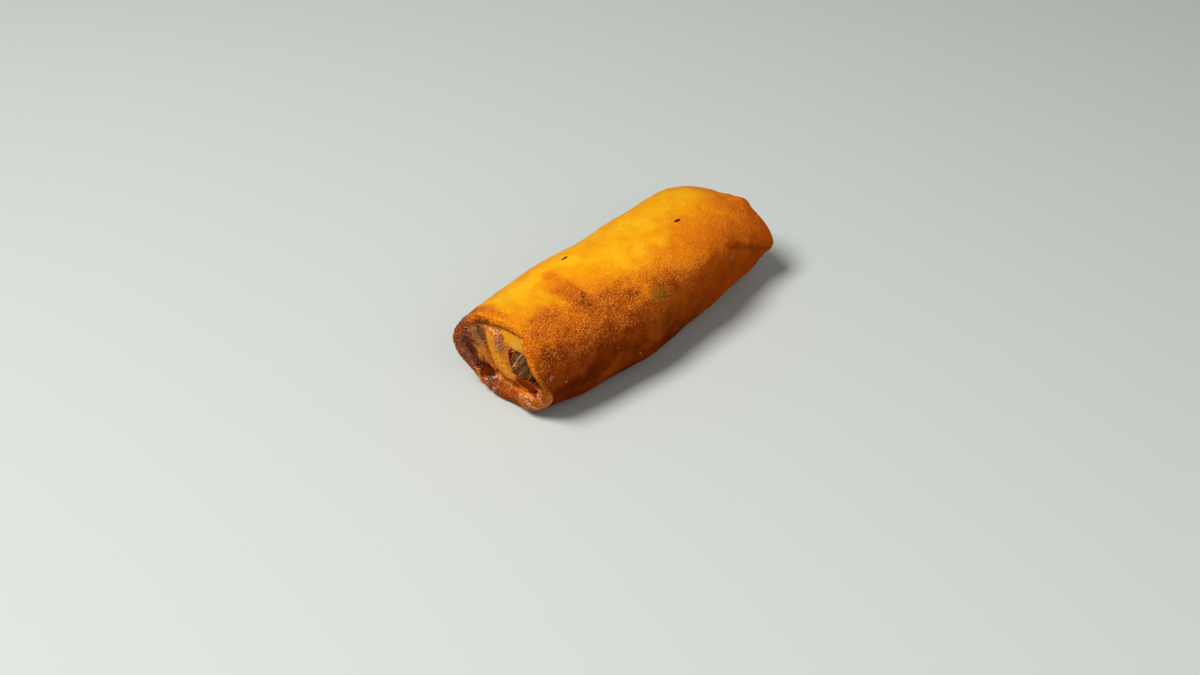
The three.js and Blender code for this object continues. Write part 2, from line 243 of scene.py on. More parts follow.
def swell(along, angle):
    """How far the skin stands out from its plain section."""
    place = (along - NEAR_END) / ROLL_LENGTH
    swells = sum(
        height * np.sin(TURN * lengthwise * place + round_it * angle + turn)
        for height, lengthwise, round_it, turn in SWELLS
    )
    past_seam = (SEAM["angle"] - angle) % TURN
    away_from_ends = ease(abs(along), FAR_END, FAR_END - SEAM["end_margin"])
    seam = np.exp(-past_seam / SEAM["fade"]) * ease(past_seam, 0, SEAM["edge"])
    return swells * lerp(SWELL_AT_ENDS, 1, away_from_ends) + SEAM["step"] * away_from_ends * seam


def skin_ring(along, angle, inset=0.0):
    """A ring of the skin, or of a layer that lies inset from it."""
    half_width, crown, belly, sideways, front, behind = along_table(SECTIONS, along)
    half_height = (crown - belly) / 2
    squareness = lerp(behind, front, (1 + np.cos(angle)) / 2)
    across = abs(np.cos(angle) / half_width) ** squareness
    upright = abs(np.sin(angle) / half_height) ** squareness
    radius = (across + upright) ** (-1 / squareness) + swell(along, angle) - inset
    y = -radius * np.cos(angle)
    z = radius * np.sin(angle)
    height = np.maximum((crown + belly) / 2 + z, inset)
    wave = near_rim(angle)[0] * ease(along - NEAR_END, RIM_WAVE_REACH, 0)
    return np.stack([along + lean(along, y, z) - wave, sideways + y, height], axis=-1)


def section_middle(along):
    front, back = skin_ring(along, np.array([0.0, math.pi]))
    return (front + back) / 2


def off_path(y, z, path):
    """How far places are off a path, and how far along it the nearest point is."""
    best = np.full(np.shape(y), np.inf)
    along = np.zeros(np.shape(y))
    for index, (start, end) in enumerate(zip(path, path[1:])):
        run = np.subtract(end, start)
        share = np.clip(((y - start[0]) * run[0] + (z - start[1]) * run[1]) / (run @ run), 0, 1)
        away = np.hypot(y - start[0] - share * run[0], z - start[1] - share * run[1])
        along = np.where(away < best, (index + share) / (len(path) - 1), along)
        best = np.minimum(best, away)
    return best, along


def near_face(y, z):
    """Where the flat of the near end lies at a place on it."""
    _, crown, belly, sideways, _, _ = along_table(SECTIONS, NEAR_END)
    return NEAR_END + lean(NEAR_END, y - sideways, z - (crown + belly) / 2)


def rim_size(angle, measure):
    """The near rim's inset or reach at each angle, between its cut and its rolled stretches."""
    return lerp(CUT_RIM[measure], ROLLED_RIM[measure], near_rim(angle)[1])


def tongue_across(y, z):
    """How far across the tongue places are: 0 on its crest and 1 at its sides."""
    away, along = off_path(y, z, TONGUE["path"])
    wide, narrow = TONGUE["half_widths"]
    return away / lerp(wide, narrow, ease(along, *TONGUE["narrows"]))


def tuck_depth(y, z, rim_distance):
    """How deep the tucked flaps lie below the flat of the near end."""
    bowl = FLAP["depth"] * ease(rim_distance, 0, FLAP["width"])
    for path, half_width, depth in HOLLOWS:
        bowl = bowl + depth * ease(off_path(y, z, path)[0], half_width, 0)
    across = tongue_across(y, z)
    wide = TONGUE["half_widths"][0]
    tongue = TONGUE["crest"] + TONGUE["crown"] * across**2 + TONGUE["fall"] * ease(y, wide, -wide)
    return lerp(bowl, tongue, ease(across, *TONGUE["edge"]))


RIM_ANGLES = np.linspace(0, TURN, 720, endpoint=False)
RIM_LINE = skin_ring(NEAR_END, RIM_ANGLES, rim_size(RIM_ANGLES, "inset"))[:, 1:]


def off_rim(y, z):
    """How far places on the near end are from its rim, and the rim's nearest angle."""
    away = np.hypot(y[:, None] - RIM_LINE[:, 0], z[:, None] - RIM_LINE[:, 1])
    return away.min(axis=1), RIM_ANGLES[away.argmin(axis=1)]


def near_end_depth(y, z):
    """How deep the near end lies below its flat, with the pastry's cut step at its rim."""
    distance, nearest = off_rim(y, z)
    wave, rolled = near_rim(nearest)
    cut = PASTRY * (1 - rolled)
    depth = lerp(tuck_depth(y, z, distance), cut - wave, ease(distance, STEP_FADE, 0))
    return depth - cut * ease(distance, 1.3, 0.7)


def opening_outline(angle):
    """The gap's outline, a smooth closed curve through its corner points."""
    place = (np.asarray(angle) / TURN % 1) * len(OPENING)
    index = np.floor(place).astype(int)
    t = (place - index)[:, None]
    before, start, end, after = (OPENING[(index + step) % len(OPENING)] for step in (-1, 0, 1, 2))
    return 0.5 * (
        2 * start + (end - before) * t
        + (2 * before - 5 * start + 4 * end - after) * t**2
        + (3 * start - before - 3 * end + after) * t**3
    )


def outwards_from_opening(outline):
    away = outline - OPENING_MIDDLE
    return away / np.linalg.norm(away, axis=1, keepdims=True)


def near_end_ring(angle, share):
    """A ring of the near end, from the gap's lip (0) to the rim (1)."""
    rim = skin_ring(NEAR_END, angle, rim_size(angle, "inset"))[:, 1:]
    outline = opening_outline(angle)
    lip = outline + OPENING_LIP * outwards_from_opening(outline)
    y, z = lerp(lip, rim, share).T
    depth = near_end_depth(y, z)
    return np.stack([near_face(y, z) + depth, y, z], axis=-1)


def near_rim_ring(angle, bend):
    """A ring of the near rim, which bends from the end's flat (0) round to the skin."""
    ring = skin_ring(NEAR_END, angle, rim_size(angle, "inset") * (1 - math.sin(bend)))
    ring[:, 0] += rim_size(angle, "reach") * (1 - math.cos(bend))
    return ring


def opening_lip_ring(angle, bend):
    """A ring of the gap's rounded lip, from the end's face (0) into the gap."""
    outline = opening_outline(angle)
    outwards = outwards_from_opening(outline)
    face = outline + OPENING_LIP * outwards
    depth = near_end_depth(*face.T) + OPENING_LIP * (1 - math.cos(bend))
    y, z = (outline + OPENING_LIP * (1 - math.sin(bend)) * outwards).T
    return np.stack([near_face(*face.T) + depth, y, z], axis=-1)


def hollow_ring(angle, depth, clearance=0.0):
    """A ring of the hollow behind the gap, widening to the inside of the pastry."""
    inner = ease(depth, HOLLOW["neck"], HOLLOW["full"])
    outline = opening_outline(angle)
    mouth = outline - clearance * outwards_from_opening(outline)
    trunk = skin_ring(NEAR_END + depth, angle, WALL + clearance)
    y, z = lerp(mouth, trunk[:, 1:], inner).T
    return np.stack([lerp(near_face(y, z) + depth, trunk[:, 0], inner), y, z], axis=-1)


def hollow_closing_ring(angle, bend, clearance=0.0):
    """A ring of the hollow's rounded far end, from its full width (0) to its pole."""
    along = NEAR_END + lerp(HOLLOW["closing"], HOLLOW["end"] - clearance, math.sin(bend))
    trunk = skin_ring(along, angle, WALL + clearance)
    return lerp(section_middle(along), trunk, math.cos(bend))


def far_rim_ring(angle, bend):
    """A ring of the far rim, which bends from the end's flat (0) round to the skin."""
    ring = skin_ring(FAR_END, angle, FAR_RIM["inset"] * (1 - math.sin(bend)))
    ring[:, 0] -= FAR_RIM["reach"] * (1 - math.cos(bend))
    return ring


def above_far_flap(y, z):
    """How far places on the far end are above the slanting edge of its flap."""
    start = FAR_TUCK["start"]
    edge = np.subtract(FAR_TUCK["end"], start) / np.hypot(*np.subtract(FAR_TUCK["end"], start))
    return edge[0] * (z - start[1]) - edge[1] * (y - start[0])


def far_end_ring(angle, share):
    """A ring of the far end, whose flap lies over the tuck along a slanting edge."""
    ring = lerp(section_middle(FAR_END), skin_ring(FAR_END, angle, FAR_RIM["inset"]), share)
    half_width = FAR_TUCK["edge_width"] / 2
    flap = FAR_TUCK["flap"] * ease(above_far_flap(ring[:, 1], ring[:, 2]), half_width, -half_width)
    ring[:, 0] -= (FAR_TUCK["depth"] - flap) * ease(share, 1, 0.5)
    return ring


# ---- Meshes ------------------------------------------------------------------

def ring_body(rings, columns):
    """A closed body from rings of points: a grid put in place ring by ring, then sealed.

    The first and the last ring are poles. Every vertex keeps its ring and column.
    """
    bm = bmesh.new()
    rows = len(rings) - 1
    bmesh.ops.create_grid(bm, x_segments=columns, y_segments=rows, size=0.5)
    ring_of = bm.verts.layers.int.new("ring")
    column_of = bm.verts.layers.int.new("column")
    places = [np.broadcast_to(ring, (columns, 3)).tolist() for ring in rings]
    edges = []
    for vert in bm.verts:
        ring, column = round((vert.co.y + 0.5) * rows), round((vert.co.x + 0.5) * columns)
        if column in (0, columns) or ring in (0, rows):
            edges.append(vert)
        vert[ring_of], vert[column_of] = ring, column % columns
        vert.co = places[ring][column % columns]
    bmesh.ops.remove_doubles(bm, verts=edges, dist=1e-5)
    bmesh.ops.recalc_face_normals(bm, faces=bm.faces)
    bm.normal_update()
    return bm


def vertex_places(bm):
    return np.array([vert.co[:] for vert in bm.verts])


def raise_relief(bm, heights):
    """Moves each vertex out along its normal by its height, and keeps it off the floor."""
    moved = [vert.co + vert.normal * height for vert, height in zip(bm.verts, heights)]
    for vert, place in zip(bm.verts, moved):
        place.z = max(place.z, min(vert.co.z, 0.0))
        vert.co = place


def add_object(name, data):
    """Adds an object to the scene: a mesh, a light or a camera."""
    made = bpy.data.objects.new(name, data)
    bpy.context.scene.collection.objects.link(made)
    return made


def add_mesh(name, bm, material):
    mesh = bpy.data.meshes.new(name)
    bm.to_mesh(mesh)
    bm.free()
    mesh.materials.append(material)
    return add_object(name, mesh)


def finish_piece(name, bm, tones, material, node):
    """Makes the object that stands for a node: in metres, in its place, with its tones."""
    place = Matrix.Translation(Vector(LINE_PLACE) * MM) @ Matrix.Scale(MM, 4)
    bmesh.ops.transform(bm, matrix=place, verts=bm.verts)
    for face in bm.faces:
        face.smooth = True
    piece = add_mesh(name, bm, material)
    for tone, values in tones.items():
        piece.data.attributes.new(tone, "FLOAT", "POINT").data.foreach_set("value", values)
    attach(piece, "root")
    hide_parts(node)


# ---- Unevenness and fine relief, in millimetres ------------------------------

# What keeps edges ragged, by its use: size of the waves, their height and a seed.
UNEVEN = {
    "round the skin": [(9, 14, 1), (2.6, 7, 2)],
    "along the skin": [(8, 5, 3)],
    "browning_and_shade": [(14, 0.1, 4), (4, 0.07, 5)],
    "oil": [(10, 0.1, 6)],
    "end patches sideways": [(2.2, 1.2, 7)],
    "end patches upwards": [(2.2, 1.2, 8)],
    "far end": [(5, 0.3, 9)],
    "lumps": [(7, 1, 10), (2.5, 0.4, 11)],
    "filling pits": [(1.3, 0.25, 13)],
    "filling hollows": [(4, 0.3, 14)],
    "end lines sideways": [(1.5, 0.5, 15)],
    "end lines upwards": [(1.5, 0.5, 16)],
    "undercut_shadow": [(1.6, 0.8, 17)],
    "far crease": [(4, 5, 18)],
    "green": [(2.6, 3, 2)],
}
BUBBLED_SEED = 12

# Fried bubbles: their size and the share of the surface that has them.
SKIN_BUBBLES = (2.2, 0.45)
END_BUBBLES = (1.2, 0.7)


def waves(places, size, height, seed):
    """Soft uneven waves of a height, each about a size across."""
    shift = Vector((seed * 17.3, seed * 5.1, seed * 9.7))
    return height * np.array([noise.noise(Vector(place) / size + shift) for place in places])


def uneven(places, use):
    """The unevenness at each place for one use."""
    return sum(waves(places, *row) for row in UNEVEN[use])


def end_lines(places):
    """Where places lie among the lines of the near end, which wander a little."""
    return (
        places[:, 1] + uneven(places, "end lines sideways"),
        places[:, 2] + uneven(places, "end lines upwards"),
    )


def patch(first, second, middle_first, middle_second, reach_first, reach_second, edge=1.15, full=0.5):
    """A soft oval patch: 1 at its middle, falling to 0 at its edge, as a share of its reach."""
    away = np.hypot((first - middle_first) / reach_first, (second - middle_second) / reach_second)
    return ease(away, edge, full)


def bubbled(places, size, share):
    """Fried bubbles at each place, from 0 to 1: round bumps on a share of the surface."""
    nearest = np.array([noise.voronoi(Vector(place) / size)[0][0] for place in places])
    has_bubbles = ease(waves(places, 4 * size, 1, BUBBLED_SEED), 0.9 - 2 * share, 1.1 - 2 * share)
    return has_bubbles * np.clip(1 - (nearest / 0.5) ** 2, 0, None)


def below_far_crease(places, degrees):
    """How far places lie below the crease on the far half, and how deep it has become there."""
    start, end = FAR_CREASE["line"]
    along, degrees = places[:, 0], degrees + uneven(places, "far crease")
    line = lerp(start[1], end[1], (along - start[0]) / (end[0] - start[0]))
    below = (line - (degrees + 180) % 360 + 180) * FAR_CREASE["per_degree"]
    return below, ease(along, start[0], start[0] + 9)


def far_crease(below, deepens):
    """How deep the skin lies below the crease on the front of the far half."""
    return FAR_CREASE["depth"] * deepens * ease(below, -0.8, 0.5) * ease(below, 9.0, 0.5)


def end_folds(places):
    """Height of the near end's fine folds and creases."""
    y, z = end_lines(places)
    return sum(
        height * ease(off_path(y, z, path)[0], half_width, 0) for path, half_width, height in END_FOLDS
    )


def wrapper_relief(places, zones, degrees, oil, lumps, bubbles):
    """Height of the wrapper's fine relief at each vertex: lumps, bubbles, folds and dents."""
    near = ease(places[:, 0], NEAR_END + 4, NEAR_END - 1)
    relief = lumps * uneven(places, "lumps") + bubbles * bubbled(places, *SKIN_BUBBLES)
    relief = relief + near * bubbles * (0.6 + 1.4 * oil) * bubbled(places, *END_BUBBLES)
    relief = relief + end_folds(places) * (zones == "near end")
    relief = relief - far_crease(*below_far_crease(places, degrees)) * (zones == "skin")
    for *oval, height in SKIN_DENTS:
        relief = relief + height * patch(places[:, 0], degrees, *oval, edge=1, full=0)
    return relief * ease(places[:, 2], 0.1, 1)


# ---- Tones of the fried pastry -----------------------------------------------

# Round the skin, by degrees from the front (0) over the top (90) to the back (180).
SKIN_TONES = [
    # degrees, browning, grain
    (0, 0.73, 0.1),
    (10, 0.71, 0.15),
    (20, 0.68, 0.4),
    (30, 0.62, 0.8),
    (40, 0.55, 0.9),
    (50, 0.47, 0.8),
    (60, 0.32, 0.65),
    (70, 0.21, 0.45),
    (85, 0.13, 0.2),
    (100, 0.08, 0.12),
    (120, 0.07, 0.15),
    (140, 0.14, 0.25),
    (160, 0.3, 0.5),
    (180, 0.45, 0.6),
    (220, 0.58, 0.5),
    (270, 0.66, 0.3),
    # The lower front flank, at 320 and 345 degrees, is darker partly from browning and partly as painted
    # shade against the pale floor's bounce light.
    (320, 0.84, 0.2),
    (345, 0.84, 0.1),
    (360, 0.73, 0.1),
]
# Patches of the skin that fried more or less than the rest.
SKIN_PATCHES = [
    # along, degrees, reach along, reach in degrees, browning, grain
    (-1, 66, 13, 16, -0.1, 0),
    (5, 48, 14, 8, -0.1, 0),
    (-30.5, 80, 7.5, 36, 0.24, 0.3),
    (-29, 66, 15, 28, 0.07, 0.2),
    (-28, 57, 6, 9, 0.08, 0.1),
    (-26, 60, 2.5, 4, 0.14, 0.1),
    (-13, 48, 3, 4, 0.16, 0.1),
    (-15, 50, 7, 12, 0.08, 0.1),
    (-46, 62, 9, 14, 0.1, 0.3),
    (-53, 115, 5.5, 34, 0.3, 0.5),
    (-50, 80, 8, 24, 0.06, 0.35),
    (-38, 112, 5, 10, -0.08, 0),
    (-19, 110, 4, 8, -0.08, 0),
    (28, 78, 15, 20, 0.02, 0.3),
    (30, 58, 14, 12, -0.06, 0),
    (50, 75, 9, 50, 0.18, 0.35),
    (54, 60, 4.5, 55, 0.06, 0.1),
    (44, 38, 15, 20, -0.1, 0),
    (-30, 118, 16, 16, -0.06, 0),
    (12, 42, 30, 15, -0.06, 0),
    (24, 38, 9, 16, -0.07, 0),
    (-9, 30, 12, 7, 0.07, 0),
    (33, 3, 20, 12, 0.1, 0),
    (-49, 31, 5, 11, 0.12, 0),
    (42, 52, 9, 10, -0.1, 0),
]
# Tone of the zones that have no patches: browning on the far rim, a dark lip round the gap, and painted
# shade inside the hollow.
ZONE_BROWNING_AND_SHADE = {"far rim": 0.66, "hollow": 0.97, "gap": 0.8}
# The far end's face, and what its flap's edge and the pastry above the flap add to it.
FAR_FACE = {"browning_and_shade": 0.56, "flap_edge": 0.3, "above_flap": -0.2}
# The near rim, which is browned and oily only where it is rolled over.
RIM_TONES = {"browning_and_shade": 0.74, "grain": 0.9, "oil": 0.1, "rolled_oil": 0.42}
# A painted shadow: the dark strip under the near rim's cut edge, which runs at a distance from the rim.
UNDERCUT_SHADOW = {"browning_and_shade": 0.85, "strength": 0.75, "distance": 1.5}
# Painted shade along the crease on the far half, and painted light on the strip under it, added to the
# browning.
CREASE_SHADE_AND_LIGHT = {"crease": 0.15, "under": -0.08}
# Where the green filling shines through: along, degrees, reach along, reach in degrees.
GREEN_SHINES_THROUGH = (-4.6, 30, 4.6, 7)
SCORCHES = [
    # along, degrees, half length, half width
    (-19.2, 118, 1.5, 0.5),
    (20.3, 78, 1.6, 0.65),
]
# Small pale blisters, painted pale as glints; their oil makes them shine as well.
FLECK_GLINTS = [
    # along, degrees, half length, half width
    (31.7, 15.5, 0.5, 1),
    (-51.6, 13, 0.6, 0.7),
    (-48, 0, 0.4, 0.5),
    (-26, 9, 0.5, 0.3),
    (-17, -10, 0.4, 0.5),
]

# Patches of the near end, laid over each other in turn. Those over the lower strip of the tongue, in the
# pocket and under the top cut edge are painted shade.
END_PATCHES = [
    # sideways, height, reach sideways, reach upwards, browning, grain, oil
    (0, 18, 60, 60, 0.46, 0.7, 0.5),
    (10.5, 17, 3.6, 7, 0.48, 0.7, 0.5),
    (10.8, 26, 3.2, 6.5, 0.6, 1, 0.8),
    (2.4, 22, 5, 15.5, 0.34, 0.8, 0.4),
    (-5, 31, 6, 4, 0.1, 0.6, 0.4),
    # Painted shade on the lower strip of the tongue.
    (-9.5, 12.8, 7.5, 2.6, 0.83, 0.15, 0.2),
    (-2, 9.6, 8.5, 1, 0.66, 0.2, 0.3),
    (0.1, 28.4, 1.9, 4.8, 0.56, 1, 0.75),
    # Painted shade in the pocket.
    (8.8, 9.8, 2.9, 2.8, 0.92, 0.1, 0.2),
    (16, 25, 2.8, 9, 0.86, 0.7, 0.8),
    (14.6, 13, 3.2, 6, 0.8, 0.5, 0.55),
    (6.4, 6.6, 3.2, 2.2, 0.86, 0.4, 1),
    (5.6, 3.8, 2, 2.8, 0.86, 0.4, 1),
    (-0.5, 6, 7, 2.8, 0.66, 0.5, 0.4),
    (-3, 2.4, 16, 2.8, 0.74, 0.5, 0.6),
    (-7, 9.6, 4, 1.5, 0.3, 0.3, 0.4),
    (-9.8, 7.4, 3.6, 2, 0.66, 0.8, 0.8),
    (-15.2, 12, 2.8, 5, 0.4, 0.6, 0.6),
    # Painted shadow under the top cut edge.
    (-4, 34, 7, 0.8, 0.76, 0.8, 0.5),
]
# Lines and streaks of the near end: path, half width, browning, how much the tone takes over. The streak
# on the tongue's crest is a painted highlight; the dark lines in the crease inside the rolled ridge, in
# the crease under the tongue and in the pocket are painted shade; the short dark marks follow the flap's
# small creases.
END_MARKS = [
    # A painted highlight along the tongue's crest.
    ([(3.8, 28), (3.4, 23.1), (2.4, 20.3), (1, 17.5), (-1.6, 14.3)], 3.2, 0.15, 0.9),
    # Painted shade in the crease inside the rolled ridge.
    ([(14.4, 21), (13.8, 16.1), (12.6, 13.3), (11.4, 10.5), (9.6, 7.7)], 1.4, 0.9, 0.9),
    ([(13.8, 26.2), (13, 24.6)], 1.1, 0.97, 0.9),
    ([(8.6, 29.6), (9.2, 26.6), (8.8, 23.6)], 1.1, 0.95, 0.8),
    ([(13.4, 21), (11.6, 19.5)], 1, 0.95, 0.8),
    ([(10.6, 13.8), (10.1, 10.4)], 0.9, 0.9, 0.7),
    ([(8.2, 32.4), (6, 34.6), (3.2, 35.1)], 1.1, 0.85, 0.8),
    # Painted shade in the crease under the tongue.
    ([(3.4, 11.4), (-0.8, 9.5), (-4, 9.3), (-8, 10.2), (-11.4, 11.6), (-14, 13.5)], 0.7, 0.78, 0.7),
    # Painted shade in the pocket.
    ([(9.2, 11.6), (8.6, 9.5), (7.4, 8.6)], 2.2, 0.93, 0.9),
]
# Rows of small pale blisters on the near end, painted pale as glints: path, half width, strength.
BEAD_GLINTS = [
    ([(15.6, 17), (14.6, 14.1), (13.2, 11.9), (12.4, 9.5), (11.2, 7.3), (10.2, 4.5)], 1, 0.35),
    ([(13.8, 26.8), (13, 25.4)], 1.1, 0.9),
    ([(11.8, 18), (11.4, 16.8)], 0.9, 0.6),
    ([(5.6, 31.9), (1, 31.5), (-0.4, 30.3), (0.8, 28.3), (0, 26.5), (-0.2, 24.4)], 1.7, 0.5),
    ([(8.8, 6.4), (6.2, 7.9), (3.6, 8.8)], 1.1, 0.8),
    ([(6.4, 2.6), (5.2, 4), (4.4, 5.4)], 1.1, 0.8),
    ([(1.6, 8.1), (-0.2, 8.3)], 0.9, 0.4),
    ([(0, 6.9), (-2, 7.5)], 0.9, 0.4),
    ([(-4.8, 7.3), (-7.6, 7.9), (-9.4, 9.5), (-11.6, 9.6)], 1, 0.55),
    ([(-10, 7.2), (-12.6, 6.6)], 1.4, 0.9),
    ([(-13.8, 12.3), (-15.6, 9.4)], 1.1, 0.6),
    ([(-17.8, 21), (-17.2, 14.5)], 0.9, 0.35),
]
OLIVE = [
    # sideways, height, reach sideways, reach upwards, strength
    (-6.6, 30.2, 2.6, 3.4, 1.2),
    (10.5, 18.5, 3, 5.5, 0.4),
    (10.5, 27, 3, 4.5, 0.3),
]


def spots(places, table):
    """The strength at each place of small spots on the skin, falling off round each."""
    strength = np.zeros(len(places))
    for along, degrees, half_length, half_width in table:
        spot = skin_ring(along, np.radians([degrees]))[0]
        away = np.linalg.norm((places - spot) / (half_length, half_width, half_width), axis=1)
        strength = np.maximum(strength, 1.6 - away)
    return np.clip(strength, 0, 1)


def line_strength(lines, path, half_width):
    """The strength of a soft line along a path at places among the near end's lines."""
    return ease(off_path(*lines, path)[0], half_width, 0.3 * half_width)


def skin_tones(places, along, turned, degrees):
    """Browning with painted shade and light on the lower front flank and at the far crease, grain and oil
    of the skin.
    """
    browning_and_shade, grain = along_table(SKIN_TONES, turned % 360)
    for *oval, tone_change, grainier in SKIN_PATCHES:
        strength = patch(along, turned, *oval)
        browning_and_shade = browning_and_shade + tone_change * strength
        grain = grain + grainier * strength
    below, deepens = below_far_crease(places, degrees)
    # A painted dark line along the far crease, and a painted paler strip under it.
    crease = CREASE_SHADE_AND_LIGHT["crease"] * ease(abs(below - 0.3), 2.2, 0.2)
    light_under_crease = CREASE_SHADE_AND_LIGHT["under"] * ease(below, 1.2, 2.6) * ease(below, 8, 4)
    browning_and_shade = browning_and_shade + uneven(places, "browning_and_shade") + deepens * (crease + light_under_crease)
    oil = 0.08 + 0.25 * ease(abs(turned), 30, 90) + uneven(places, "oil")
    return np.array([browning_and_shade, grain, oil])


def near_end_tones(tones, patches, lines):
    """Browning with painted shade and a painted highlight, grain and oil of the near end, laid over the
    skin's tones.
    """
    for *oval, browning_and_shade, grain, oil in END_PATCHES:
        tones = lerp(tones, np.array([[browning_and_shade], [grain], [oil]]), patch(*patches, *oval))
    for path, half_width, tone_change, takes_over in END_MARKS:
        tones[0] = lerp(tones[0], tone_change, takes_over * line_strength(lines, path, half_width))
    return tones


def rim_tones(tones, places, at_near_end, angles):
    """The tones with the near rim's: a painted shadow under its cut edge, glazed where it is rolled."""
    browning_and_shade, grain, oil = tones
    distance, nearest = off_rim(places[:, 1], places[:, 2])
    cut = at_near_end * ease(near_rim(nearest)[1], 0.5, 0.1)
    # A painted shadow in a strip under the near rim's cut edge.
    shadow_strip = ease(abs(distance - UNDERCUT_SHADOW["distance"]), 0.9, 0.2)
    strength = UNDERCUT_SHADOW["strength"] + uneven(places, "undercut_shadow")
    browning_and_shade = lerp(browning_and_shade, UNDERCUT_SHADOW["browning_and_shade"], cut * shadow_strip * strength)
    rolled = near_rim(angles)[1] * ease(places[:, 2], 4, 12)
    skin_edge = ease(places[:, 0], NEAR_END + 6, NEAR_END + 1)
    rim = np.where(at_near_end, ease(distance, 2.2, 0.6), skin_edge)
    rim_oil = lerp(RIM_TONES["oil"], RIM_TONES["rolled_oil"], rolled)
    browning_and_shade = lerp(browning_and_shade, RIM_TONES["browning_and_shade"], rim * rolled)
    return browning_and_shade, lerp(grain, RIM_TONES["grain"], rim), lerp(oil, rim_oil, rim)


def far_face_browning(places, across, height):
    """Browning of the far end's face, darker along its flap's edge and paler above it."""
    above = above_far_flap(across, height)
    flap_edge = FAR_FACE["flap_edge"] * ease(abs(above), 1.6, 0.2)
    above_flap = FAR_FACE["above_flap"] * ease(above, 3, 7)
    return FAR_FACE["browning_and_shade"] + uneven(places, "far end") + above_flap + flap_edge


def wrapper_tones(places, zones, degrees):
    """The wrapper's tones at each vertex: browning with painted shade, grain, oil and the coloured spots,
    whose pale flecks are painted glints.
    """
    x, y, z = places.T
    at_near_end = zones == "near end"
    turned = (degrees + uneven(places, "round the skin") + 180) % 360 - 180
    along = x + uneven(places, "along the skin")
    patches = (y + uneven(places, "end patches sideways"), z + uneven(places, "end patches upwards"))
    lines = end_lines(places)

    tones = skin_tones(places, along, turned, degrees)
    tones = np.where(at_near_end, near_end_tones(tones, patches, lines), tones)
    browning_and_shade, grain, oil = rim_tones(tones, places, at_near_end, np.radians(degrees))
    browning_and_shade = np.where(zones == "far end", far_face_browning(places, *patches), browning_and_shade)
    for zone, zone_browning_and_shade in ZONE_BROWNING_AND_SHADE.items():
        browning_and_shade = np.where(zones == zone, zone_browning_and_shade, browning_and_shade)

    far_half = ease(along, -8, 32) * ease(abs(turned), 104, 62)
    green = patch(x, degrees + uneven(places, "green"), *GREEN_SHINES_THROUGH, edge=1.3, full=0.1)
    olive = sum(strength * patch(*patches, *oval) for *oval, strength in OLIVE)
    bead_glints = sum(strength * line_strength(lines, path, half_width) for path, half_width, strength in BEAD_GLINTS)
    far_edge = ease(x, FAR_END - 2.5, FAR_END - 0.5) * ease(z, 10, 16)
    far_edge = far_edge * np.isin(zones, ("skin", "far rim"))
    # The pale flecks, the beads and the far rim's dots are painted glints.
    fleck_glint = spots(places, FLECK_GLINTS) + bead_glints * at_near_end + 0.3 * far_edge
    all_tones = {
        "browning_and_shade": browning_and_shade,
        "grain": grain * (zones != "gap"),
        "oil": np.maximum(oil, fleck_glint),
        "blush": np.maximum(0.9 * ease(along, 32, 50), far_half) * ~at_near_end,
        "green": green * (zones == "skin"),
        "olive": olive * at_near_end,
        "scorch": spots(places, SCORCHES),
        "fleck_glint": fleck_glint,
    }
    return {name: np.clip(tone, 0, 1) for name, tone in all_tones.items()}


# ---- Materials ---------------------------------------------------------------

class Field:
    """A shader socket that can be used in Python arithmetic."""

    def __init__(self, shader, socket):
        self.shader = shader
        self.socket = socket

    def maths(self, operation, *others, **settings):
        values = dict(enumerate((self, *others)))
        return self.shader.node("ShaderNodeMath", values, operation=operation, **settings)

    def __add__(self, other):
        return self.maths("ADD", other)

    __radd__ = __add__

    def __mul__(self, other):
        return self.maths("MULTIPLY", other)

    __rmul__ = __mul__

    def __sub__(self, other):
        return self.maths("SUBTRACT", other)

    def __rsub__(self, other):
        return self.shader.node("ShaderNodeMath", {0: other, 1: self}, operation="SUBTRACT")

    def clamped(self):
        return self.maths("ADD", 0.0, use_clamp=True)

    def stepped(self, start, end):
        """An eased step from 0 to 1 as the value goes from start to end."""
        return self.shader.node(
            "ShaderNodeMapRange",
            {"Value": self, "From Min": start, "From Max": end, "To Min": 0.0, "To Max": 1.0},
            interpolation_type="SMOOTHSTEP",
        )


